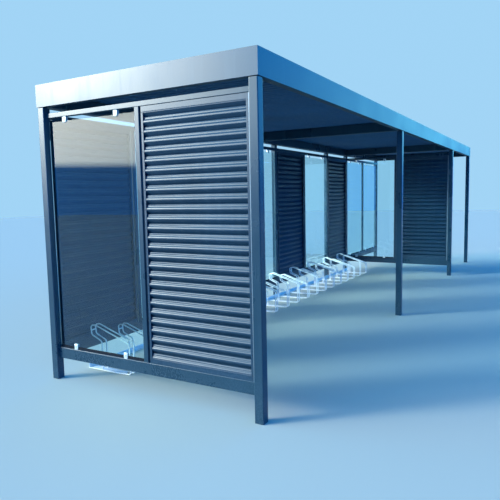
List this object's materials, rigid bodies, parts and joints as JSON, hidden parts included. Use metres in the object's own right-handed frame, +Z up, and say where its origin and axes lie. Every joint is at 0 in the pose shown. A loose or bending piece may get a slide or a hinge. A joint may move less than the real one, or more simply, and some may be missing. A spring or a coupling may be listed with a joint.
{
  "type": "bike shelter",
  "caption": "Long flat-roofed bike shelter of coated steel, with glass and louvre panels at the back and ends, an open front, and wheel racks inside.",
  "frame": {"origin": "on the floor under the middle of the roof, which is the bottom centre of the bounding box", "axes": "+X along the shelter from the near end to the open far end, -Y out of the open front, +Y towards the back wall, +Z up"},
  "size_m": [9.485, 2.11, 2.5],
  "materials": {
    "coated_steel": "powder coat, satin",
    "coated_sheet": "powder coat on folded sheet",
    "louvre_sheet": "powder coat on folded blades",
    "deck_sheet": "coated trapezoidal sheet",
    "glass": "clear toughened glass",
    "clamp_metal": "satin stainless steel",
    "black_rubber": "matt",
    "galvanised_steel": "hot-dip galvanised"
  },
  "bodies": {
    "root": {"front_post_1": "coated_steel", "front_post_2": "coated_steel", "front_post_3": "coated_steel", "front_post_4": "coated_steel", "back_post_1": "coated_steel", "back_post_2": "coated_steel", "back_post_3": "coated_steel", "back_post_4": "coated_steel", "back_post_5": "coated_steel", "back_post_6": "coated_steel", "front_beam": "coated_steel", "back_beam": "coated_steel", "near_end_beam": "coated_steel", "far_end_beam": "coated_steel", "cross_beam_1": "coated_steel", "cross_beam_2": "coated_steel", "front_fascia": "coated_sheet", "back_fascia": "coated_sheet", "near_end_fascia": "coated_sheet", "far_end_fascia": "coated_sheet", "roof_deck": "deck_sheet", "near_wall_top_rail": "coated_steel", "near_wall_bottom_rail": "coated_steel", "near_wall_mullion": "coated_steel", "cross_wall_top_rail": "coated_steel", "cross_wall_bottom_rail": "coated_steel", "cross_wall_mullion": "coated_steel", "back_wall_top_rails": "coated_steel", "back_wall_bottom_rails": "coated_steel", "back_wall_mullions": "coated_steel", "louvre_near": "louvre_sheet", "louvre_cross": "louvre_sheet", "louvre_back_1": "louvre_sheet", "louvre_back_2": "louvre_sheet", "louvre_back_3": "louvre_sheet", "louvre_back_4": "louvre_sheet", "glass_near": "glass", "glass_cross": "glass", "glass_back_1": "glass", "glass_back_2": "glass", "glass_back_3": "glass", "glass_back_4": "glass", "glass_back_5": "glass", "glass_clamps": "clamp_metal", "glass_strips": "black_rubber", "rack_angles": "galvanised_steel", "rack_feet": "galvanised_steel", "rack_wheel_loops": "galvanised_steel", "rack_ties": "galvanised_steel"}
  },
  "joints": []
}
